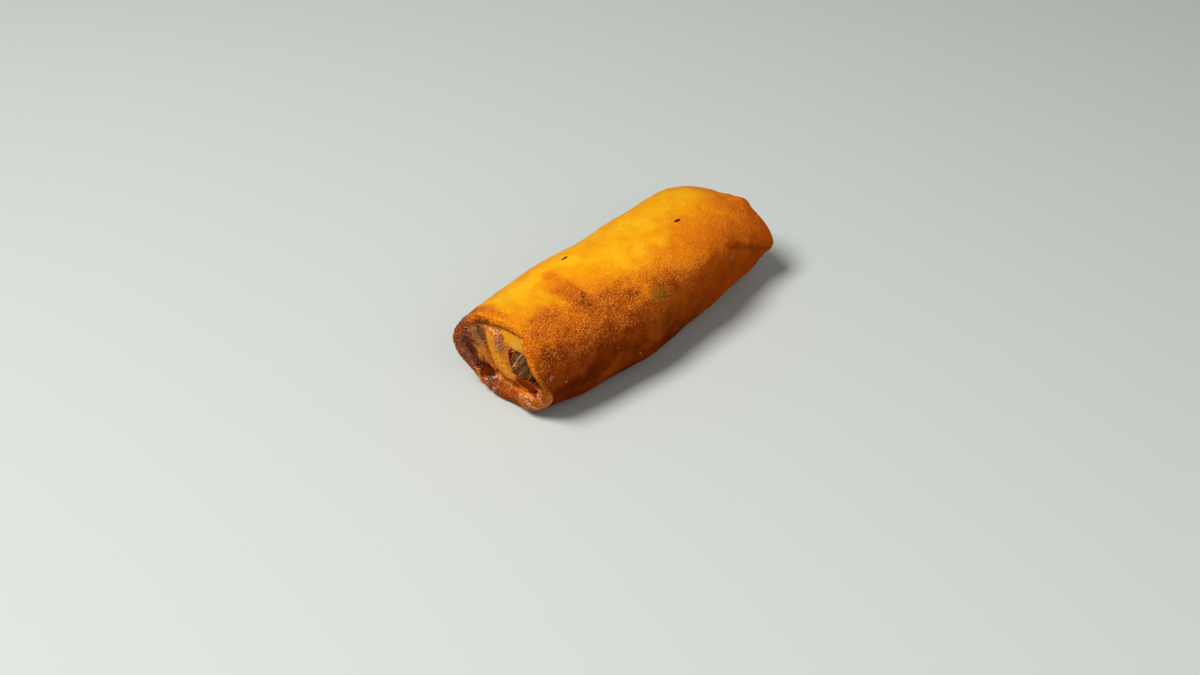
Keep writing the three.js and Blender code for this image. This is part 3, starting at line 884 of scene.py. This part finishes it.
class Shader:
    """The nodes of one material."""

    def __init__(self, name):
        self.material = bpy.data.materials.new(name)
        self.material.use_nodes = True
        self.tree = self.material.node_tree
        self.tree.nodes.clear()

    def node(self, kind, sockets=None, output=0, stops=None, **settings):
        """Adds a node: its settings first, then the values or links of its sockets."""
        node = self.tree.nodes.new(kind)
        for setting, value in settings.items():
            setattr(node, setting, value)
        if stops:
            ramp = node.color_ramp
            for _ in stops[2:]:
                ramp.elements.new(0.5)
            for element, (position, colour) in zip(ramp.elements, stops):
                element.position = position
                element.color = (*colour, 1.0)
        for key, value in (sockets or {}).items():
            if isinstance(value, Field):
                self.tree.links.new(value.socket, node.inputs[key])
            else:
                node.inputs[key].default_value = value
        return Field(self, node.outputs[output])

    def tone(self, name):
        return self.node("ShaderNodeAttribute", output="Fac", attribute_name=name)

    def noise(self, size, detail=3.0, roughness=0.5):
        """Noise from 0 to 1, whose patches are about a size across, in millimetres."""
        place = self.node("ShaderNodeTexCoord", output="Object")
        return self.node(
            "ShaderNodeTexNoise",
            {"Vector": place, "Scale": 1 / (size * MM), "Detail": detail, "Roughness": roughness},
        )

    def mixed(self, share, first, second):
        """A colour between two."""
        colours = [c if isinstance(c, Field) else (*c, 1.0) for c in (first, second)]
        sockets = {"Factor": share, 6: colours[0], 7: colours[1]}
        return self.node("ShaderNodeMix", sockets, output=2, data_type="RGBA")

    def ramp(self, value, stops):
        """A colour from a ramp's stops by a value, held between 0 and 1."""
        return self.node("ShaderNodeValToRGB", {0: value.clamped()}, stops=stops)

    def bumped(self, height):
        """A normal from the surface's fine relief, whose height is in millimetres."""
        return self.node("ShaderNodeBump", {"Height": height, "Strength": 1.0, "Distance": MM})

    def surface(self, **sockets):
        """A Principled surface."""
        names = {name.replace("_", " "): value for name, value in sockets.items()}
        return self.node("ShaderNodeBsdfPrincipled", names)

    def finish(self, surface):
        """Ends the material in a surface."""
        output = self.tree.nodes.new("ShaderNodeOutputMaterial")
        self.tree.links.new(surface.socket, output.inputs["Surface"])
        return self.material


def pastry_colour(shader, colours, bubbles, blotch, blisters):
    """From golden to scorched by the browning and painted shade, with pale bubble tops that are partly
    painted glints, pale blisters painted as glints, and coloured patches.
    """
    grain, fleck_glint = shader.tone("grain"), shader.tone("fleck_glint")
    specks = shader.noise(0.45, detail=1.0, roughness=0.6)
    speckle = (0.5 - bubbles) * 1.6 + (specks - 0.5)
    shade = shader.tone("browning_and_shade") + (blotch - 0.5) * 0.16 + speckle * (grain * 0.44 + 0.06)
    colour = shader.ramp(shade, [
        (0.0, colours.pale),
        (0.16, colours.golden),
        (0.38, colours.amber),
        (0.6, colours.browned),
        (0.8, colours.dark),
        (1.0, colours.scorched),
    ])
    # Pale bubble tops: partly paler crust, partly painted glints.
    pale_glint_tops = (bubbles * 0.4 + shader.noise(0.3) * 0.6).stepped(0.54, 0.66) * grain
    # Pale blisters: a painted glint.
    pale_blister_glints = (blisters + fleck_glint * 0.1).stepped(0.58, 0.7) * fleck_glint.stepped(0.0, 0.6)
    ragged_scorch = shader.tone("scorch") + (shader.noise(0.8) - 0.5) * 0.9
    for share, patch_colour in (
        (pale_glint_tops * 0.6, colours.bubble_top_glint),
        (pale_blister_glints * 0.75, colours.blister_glint),
        (shader.tone("blush") * 0.34, colours.blush),
        (shader.tone("green") * 0.6, colours.green),
        (shader.tone("olive") * 0.45, colours.olive),
        (ragged_scorch.stepped(0.45, 0.7), colours.scorched),
    ):
        colour = shader.mixed(share, colour, patch_colour)
    return colour


def pastry_material(colours):
    """Fried pastry: golden to dark brown, grained with fine bubbles and filmed with oil."""
    shader = Shader("fried_pastry")
    bubbles = shader.noise(0.5, detail=1.0, roughness=0.6)
    blotch = shader.noise(3.5, detail=4.0, roughness=0.6)
    blisters = shader.noise(0.55, detail=1.0)
    oil = shader.tone("oil")
    gloss = (shader.noise(4.0, detail=2.0) - 0.5) * 0.2
    raised = oil * oil * 0.5 + shader.tone("fleck_glint") * 0.3
    height = bubbles * (shader.tone("grain") * 0.28 + 0.03) + blotch * 0.2 + blisters * raised
    pastry = {
        "Base_Color": pastry_colour(shader, colours, bubbles, blotch, blisters),
        "Subsurface_Weight": 0.06,
        "Subsurface_Radius": (0.004, 0.0018, 0.0008),
        "Subsurface_Scale": 0.6,
        "Normal": shader.bumped(height),
    }
    dry = shader.surface(Roughness=0.5 + gloss, Specular_IOR_Level=0.0, **pastry)
    wet = shader.surface(Roughness=0.2 + gloss, Specular_IOR_Level=0.4, **pastry)
    return shader.finish(shader.node("ShaderNodeMixShader", {0: oil.stepped(0.15, 1.0), 1: dry, 2: wet}))


def filling_material(colours):
    """Cooked shredded vegetables, from dark to pale by each shred's tone, wet with oil."""
    shader = Shader("stewed_filling")
    streaks = shader.noise(1.1, detail=4.0, roughness=0.65)
    colour = shader.ramp(shader.tone("tone") + (streaks - 0.5) * 0.4, [
        (0.0, colours.darkest_shade),
        (0.3, colours.leaf),
        (0.6, colours.stewed),
        (0.85, colours.carrot),
        (1.0, colours.cabbage),
    ])
    return shader.finish(shader.surface(
        Base_Color=colour,
        Roughness=0.2 + streaks * 0.3,
        Specular_IOR_Level=0.1,
        Subsurface_Weight=0.1,
        Subsurface_Radius=(0.002, 0.0015, 0.0006),
        Subsurface_Scale=0.5,
        Normal=shader.bumped(streaks * 0.3 + shader.noise(0.6) * 0.12),
    ))


def floor_material(colour):
    """A plain matt floor with the faintest unevenness."""
    shader = Shader("plain_floor")
    mottle = shader.noise(120.0, detail=2.0)
    darker = tuple(part * 0.985 for part in colour)
    return shader.finish(shader.surface(Base_Color=shader.mixed(mottle, colour, darker), Roughness=0.85))


# ---- Settings ----------------------------------------------------------------

def colour_property(name, description, default):
    return bpy.props.FloatVectorProperty(
        name=name, description=description, default=default, size=3, min=0, max=1, subtype="COLOR"
    )


class PastryColours(bpy.types.PropertyGroup):
    pale: colour_property("Pale", "Pastry that barely fried", (0.76, 0.38, 0.008))
    golden: colour_property("Golden", "Golden pastry along the top", (0.69, 0.265, 0.003))
    amber: colour_property("Amber", "Pastry between golden and browned", (0.6, 0.155, 0.004))
    browned: colour_property("Browned", "Well fried pastry", (0.34, 0.07, 0.004))
    # Dark and Scorched also colour the painted shade in the creases, the pocket and the hollow.
    dark: colour_property("Dark", "Dark edges and folds", (0.16, 0.02, 0.0015))
    scorched: colour_property("Scorched", "Scorched spots and deep folds", (0.035, 0.005, 0.0015))
    # Bubble tops: partly paler crust, partly painted glints.
    bubble_top_glint: colour_property("Bubble tops", "Tops of the smallest bubbles", (0.82, 0.37, 0.12))
    # A painted glint on the pale flecks and blisters.
    blister_glint: colour_property("Blisters", "Small pale blisters", (0.86, 0.5, 0.3))
    blush: colour_property("Blush", "Redder pastry of the far half", (0.7, 0.118, 0.004))
    green: colour_property("Green", "Green filling that shines through", (0.16, 0.1, 0.008))
    olive: colour_property("Olive", "Thin oily pastry over the filling", (0.45, 0.3, 0.04))


class FillingColours(bpy.types.PropertyGroup):
    # The darkest stop is painted shade, taken by the low shreds in the gap.
    darkest_shade: colour_property("Darkest", "Deep gaps between the shreds", (0.02, 0.006, 0.002))
    leaf: colour_property("Leaf", "Cooked leaf", (0.17, 0.05, 0.005))
    stewed: colour_property("Stewed", "Shreds stewed brown", (0.38, 0.125, 0.014))
    carrot: colour_property("Carrot", "Cooked carrot", (0.6, 0.26, 0.06))
    cabbage: colour_property("Cabbage", "Pale cabbage", (0.68, 0.4, 0.21))


def number_property(name, description, default, unit="NONE"):
    return bpy.props.FloatProperty(name=name, description=description, default=default, unit=unit)


class WrapperSettings(bpy.types.PropertyGroup):
    columns: bpy.props.IntProperty(
        name="Columns", description="Faces round the roll", default=320, min=32, max=320
    )
    lumps: number_property("Lumps", "Height of the skin's soft lumps", 0.2 * MM, "LENGTH")
    bubbles: number_property("Bubbles", "Height of the fried bubbles", 0.16 * MM, "LENGTH")
    colours: bpy.props.PointerProperty(type=PastryColours)


class FillingSettings(bpy.types.PropertyGroup):
    shreds: bpy.props.IntProperty(
        name="Shreds", description="How many shreds show in the gap", default=210, min=1, max=300
    )
    width: number_property("Shred width", "Width of a common shred", 0.72 * MM, "LENGTH")
    seed: bpy.props.IntProperty(name="Seed", description="Picks another arrangement", default=11)
    colours: bpy.props.PointerProperty(type=FillingColours)


class StageSettings(bpy.types.PropertyGroup):
    floor_size: number_property("Floor size", "Side of the square floor", 6.0, "LENGTH")
    floor: colour_property("Floor", "Colour of the floor", (0.5, 0.54, 0.53))
    key_power: number_property("Key light", "Power of the main light", 16.2, "POWER")
    fill_power: number_property("Fill light", "Power of the soft light in front", 1.75, "POWER")
    sky: number_property("Sky", "Strength of the even light all round", 0.12)
    lens: number_property("Lens", "Focal length of the camera", 37.779 * MM, "CAMERA")


# ---- Operators ---------------------------------------------------------------

def neck_ring(angle, share):
    """A ring of the gap's neck, from the hollow (0) to the gap's lip (1)."""
    return lerp(hollow_ring(angle, HOLLOW["neck"]), opening_lip_ring(angle, QUARTER), share)


def shoulder_ring(angle, share):
    """A ring of the skin's first stretch, from the near rim (0) to a level ring (1)."""
    return trunk_ring(angle, lerp(NEAR_END + rim_size(angle, "reach"), SHOULDER, share))


def trunk_ring(angle, along):
    return skin_ring(along, angle)


def wrapper_rings(angles):
    """The wrapper's rings, each with its zone, from inside the hollow to the far end."""
    stretches = [
        ("hollow", hollow_closing_ring, np.linspace(QUARTER, 0, 5)),
        ("hollow", hollow_ring, np.linspace(84, 22, 6)),
        ("hollow", hollow_ring, np.linspace(13, 6, 6)),
        ("hollow", neck_ring, (0, 0.35, 0.7)),
        ("gap", opening_lip_ring, np.linspace(QUARTER, 0.2, 5)),
        ("near end", near_end_ring, np.linspace(0, 1, 68)),
        ("near end", near_rim_ring, np.linspace(0.2, QUARTER, 6)),
        ("skin", shoulder_ring, np.linspace(0, 1, 16)[1:]),
        ("skin", trunk_ring, np.linspace(SHOULDER + 0.7, FAR_END - 1.7, 150)),
        ("far rim", far_rim_ring, np.linspace(QUARTER, 0, 6)),
        ("far end", far_end_ring, np.linspace(0.97, 0, 24)),
    ]
    return [(zone, ring(angles, step)) for zone, ring, steps in stretches for step in steps]


class SPRINGROLL_OT_wrapper(bpy.types.Operator):
    """Make the rolled and fried pastry, with its tucked ends and the gap at one corner"""

    bl_idname = "springroll.wrapper"
    bl_label = "Pastry wrapper"

    def execute(self, context):
        settings = context.scene.springroll_wrapper
        columns = settings.columns
        angles = TURN * np.arange(columns) / columns
        zones, rings = zip(*wrapper_rings(angles))
        bm = ring_body(rings, columns)

        ring_of, column_of = bm.verts.layers.int["ring"], bm.verts.layers.int["column"]
        places = vertex_places(bm)
        vertex_zones = np.array(zones)[[vert[ring_of] for vert in bm.verts]]
        degrees = np.degrees(angles[[vert[column_of] for vert in bm.verts]])
        tones = wrapper_tones(places, vertex_zones, degrees)
        lumps, bubbles = settings.lumps / MM, settings.bubbles / MM
        raise_relief(bm, wrapper_relief(places, vertex_zones, degrees, tones["oil"], lumps, bubbles))
        material = pastry_material(settings.colours)
        finish_piece("pastry", bm, tones, material, "wrapper")
        return {"FINISHED"}


def core_rings(angles):
    """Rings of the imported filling, from the middle of its face in the gap to its far pole."""
    clearance = CORE["clearance"]
    mouth = hollow_ring(angles, 4.6, clearance)
    face = [lerp(mouth.mean(axis=0), mouth, share) for share in np.linspace(0, 0.9, 9)]
    stretches = [
        (hollow_ring, np.linspace(4.8, 13, 14)),
        (hollow_ring, np.linspace(15, 91, 40)),
        (hollow_closing_ring, np.linspace(0, QUARTER, 8)),
    ]
    return face + [ring(angles, step, clearance) for ring, steps in stretches for step in steps]


def shred_frame(point, ahead, width, thickness, turn):
    """The place, heading and section of a shred at one point of its line."""
    heading = (ahead - point).normalized()
    side = heading.cross(Vector((0, 0, 1))).normalized()
    side.rotate(Matrix.Rotation(turn, 3, heading))
    up = heading.cross(side)
    axes = Matrix((side * width / 2, up * thickness / 2, heading)).transposed()
    return Matrix.Translation(point) @ axes.to_4x4()


def add_shred(bm, tone_layer, tone, frames):
    """One closed shred, from a small disc extruded along the shred's line."""
    disc = bmesh.ops.create_circle(bm, cap_ends=True, segments=7, radius=1, matrix=frames[0])
    verts = list(disc["verts"])
    tip = verts[0].link_faces[0]
    for before, after in zip(frames, frames[1:]):
        made = bmesh.ops.extrude_face_region(bm, geom=[tip])["geom"]
        moved = [part for part in made if isinstance(part, bmesh.types.BMVert)]
        bmesh.ops.transform(bm, matrix=after @ before.inverted(), verts=moved)
        verts += moved
        tip = next(part for part in made if isinstance(part, bmesh.types.BMFace))
    for vert in verts:
        vert[tone_layer] = tone


def gap_span(offset):
    """Where a line along the shreds, at an offset from the gap's middle, enters and leaves it."""
    outline = opening_outline(np.linspace(0, TURN, 361)) - OPENING_MIDDLE
    lie, across = outline @ SHREDS_LIE, outline @ SHREDS_ACROSS
    crossed = np.flatnonzero((across[:-1] - offset) * (across[1:] - offset) <= 0)
    return lie[crossed].min(), lie[crossed].max()


def in_gap(lie, across, sunk):
    """A place in the gap by its way along and across the shreds, sunk below the near end."""
    y, z = OPENING_MIDDLE + lie * SHREDS_LIE + across * SHREDS_ACROSS
    depth = near_end_depth(np.array([y]), np.array([z]))[0] + sunk
    return Vector((float(near_face(y, z)[0] + depth), y, z))


def shred_line(offset, layer, rng):
    """A shred's line over the gap, and its tone: lower towards the gap's bottom and darker there as
    painted shade, and paler at random near its top as painted highlights.
    """
    low = float(ease(offset, 1.5, -4))
    depth = SHREDS["top_depth"] + SHREDS["layer_step"] * layer + rng.uniform(-0.25, 0.25)
    enters, leaves = gap_span(offset)
    line = []
    for way, past, share, lower in SHRED_POINTS:
        across = offset + rng.uniform(-SHREDS["wander"], SHREDS["wander"])
        line.append(in_gap(lerp(enters, leaves, way) + past, across, share * depth + lower * low))
    tone = rng.choice(list(SHRED_TONES), p=list(SHRED_TONES.values()))
    # Painted shade darkens the low shreds, and painted highlights make some shreds near the top paler.
    return line, tone + 0.1 - 0.6 * low + 0.36 * float(ease(offset, 2, 7)) * rng.random()


def shred_frames(line, width, thickness, rng, count=9):
    """Frames along a smooth line through four points, tapering and twisting a little."""
    start, first, second, end = line
    turn, twist = rng.uniform(0, TURN), rng.uniform(-0.8, 0.8)

    def at(t):
        return (
            start * (1 - t) ** 3 + first * 3 * t * (1 - t) ** 2
            + second * 3 * t * t * (1 - t) + end * t**3
        )

    frames = []
    for t in (index / (count - 1) for index in range(count)):
        taper = 0.6 + 0.4 * math.sin(math.pi * (0.08 + 0.84 * t)) ** 0.5
        wave = 1 + 0.2 * math.sin(9 * t + turn)
        section = (width * taper * wave, thickness * taper)
        frames.append(shred_frame(at(t), at(t + 0.01), *section, turn + twist * t))
    return frames


class SPRINGROLL_OT_filling(bpy.types.Operator):
    """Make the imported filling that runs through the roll, and the shreds in the gap"""

    bl_idname = "springroll.filling"
    bl_label = "Filling"

    def execute(self, context):
        settings = context.scene.springroll_filling
        material = filling_material(settings.colours)
        angles = TURN * np.arange(CORE["columns"]) / CORE["columns"]
        bm = ring_body(core_rings(angles), CORE["columns"])
        places = vertex_places(bm)
        raise_relief(bm, -abs(uneven(places, "filling pits")) - abs(uneven(places, "filling hollows")))
        tones = {"tone": np.full(len(bm.verts), CORE["tone"])}
        finish_piece("filling_core", bm, tones, material, "filling")

        rng = np.random.default_rng(settings.seed)
        bm = bmesh.new()
        tone_layer = bm.verts.layers.float.new("tone")
        for index in range(settings.shreds):
            offset = rng.uniform(*SHREDS["spread"])
            width = settings.width / MM * rng.uniform(0.6, 1.4)
            line, tone = shred_line(offset, index % SHREDS["layers"], rng)
            add_shred(bm, tone_layer, tone, shred_frames(line, width, 0.7 * width, rng))
        bmesh.ops.recalc_face_normals(bm, faces=bm.faces)
        finish_piece("filling_shreds", bm, {}, material, "filling")
        return {"FINISHED"}


# ---- Stage -------------------------------------------------------------------

# The camera's place in millimetres from the middle of the roll's line, and its turns in degrees.
CAMERA_PLACE = (-229.711, -238.890, 286.982)
CAMERA_HEADING, CAMERA_TILT, CAMERA_ROLL = 47.7697, -41.3253, -1.9903
# The lights' places in metres. All of them aim at the middle of the roll.
LIGHTS_AIM = (0.0, 0.0, 0.018)
KEY_LIGHT = {"place": (-0.56, 0.15, 1.0), "size": 0.48, "colour": (1.0, 0.97, 0.92)}
FILL_LIGHT = {"place": (-0.1, -0.6, 0.55), "size": 0.7, "colour": (1.0, 0.94, 0.88)}
SKY_COLOUR = (0.93, 0.97, 1.0, 1.0)


def aimed(place, target, roll=0.0):
    """A placement that looks from a place to a target, turned by a roll in degrees."""
    ahead = (Vector(target) - Vector(place)).normalized()
    side = ahead.cross(Vector((0, 0, 1))).normalized()
    up = side.cross(ahead)
    turned = Matrix((side, up, -ahead)).transposed().to_4x4()
    return Matrix.Translation(place) @ turned @ Matrix.Rotation(math.radians(roll), 4, "Z")


def add_light(name, power, place, size, colour):
    """A soft round light, aimed at the roll."""
    light = bpy.data.lights.new(name, "AREA")
    light.shape = "DISK"
    light.size = size
    light.energy = power
    light.color = colour
    add_object(name, light).matrix_world = aimed(place, LIGHTS_AIM)


def lay_floor(size, colour):
    bm = bmesh.new()
    bmesh.ops.create_grid(bm, x_segments=8, y_segments=8, size=size / 2)
    floor = add_mesh("floor", bm, floor_material(colour))


def add_sky(strength):
    world = bpy.data.worlds.new("studio")
    world.use_nodes = True
    background = world.node_tree.nodes["Background"]
    background.inputs["Color"].default_value = SKY_COLOUR
    background.inputs["Strength"].default_value = strength
    bpy.context.scene.world = world


def add_camera(lens):
    camera = bpy.data.cameras.new("camera")
    camera.sensor_width = 36.0
    camera.lens = lens
    camera.clip_start = 0.01
    holder = add_object("camera", camera)
    place = (Vector(CAMERA_PLACE) + Vector(LINE_PLACE)) * MM
    heading, tilt = math.radians(CAMERA_HEADING), math.radians(CAMERA_TILT)
    level = math.cos(tilt)
    ahead = Vector((level * math.cos(heading), level * math.sin(heading), math.sin(tilt)))
    holder.matrix_world = aimed(place, place + ahead, CAMERA_ROLL)
    bpy.context.scene.camera = holder


class SPRINGROLL_OT_stage(bpy.types.Operator):
    """Lay the plain floor, and set the soft lights and the camera"""

    bl_idname = "springroll.stage"
    bl_label = "Stage"

    def execute(self, context):
        settings = context.scene.springroll_stage
        lay_floor(settings.floor_size, tuple(settings.floor))
        add_light("key", settings.key_power, **KEY_LIGHT)
        add_light("fill", settings.fill_power, **FILL_LIGHT)
        add_sky(settings.sky)
        add_camera(settings.lens / MM)
        context.scene.view_settings.view_transform = "Standard"
        return {"FINISHED"}


class SPRINGROLL_PT_panel(bpy.types.Panel):
    """Settings and makers of the spring roll"""

    bl_idname = "SPRINGROLL_PT_panel"
    bl_label = "Spring Roll"
    bl_space_type = "VIEW_3D"
    bl_region_type = "UI"
    bl_category = "Spring Roll"

    def draw(self, context):
        for name in SETTINGS:
            box = self.layout.box()
            self.list_settings(box, getattr(context.scene, f"springroll_{name}"))
            box.operator(f"springroll.{name}")

    def list_settings(self, box, group):
        for name in group.bl_rna.properties.keys():
            if name == "colours":
                self.list_settings(box, group.colours)
            elif name not in ("rna_type", "name"):
                box.prop(group, name)


# Each maker's settings, which the scene keeps under springroll_ and the maker's name.
SETTINGS = {
    "wrapper": WrapperSettings,
    "filling": FillingSettings,
    "stage": StageSettings,
}
CLASSES = (
    PastryColours,
    FillingColours,
    *SETTINGS.values(),
    SPRINGROLL_OT_wrapper,
    SPRINGROLL_OT_filling,
    SPRINGROLL_OT_stage,
    SPRINGROLL_PT_panel,
)


def register():
    for each in CLASSES:
        bpy.utils.register_class(each)
    for name, group in SETTINGS.items():
        setattr(bpy.types.Scene, f"springroll_{name}", bpy.props.PointerProperty(type=group))


def unregister():
    for name in SETTINGS:
        delattr(bpy.types.Scene, f"springroll_{name}")
    for each in reversed(CLASSES):
        bpy.utils.unregister_class(each)


def main():
    register()
    bpy.ops.springroll.wrapper()
    bpy.ops.springroll.filling()
    bpy.ops.springroll.stage()


if __name__ == "__main__":
    main()
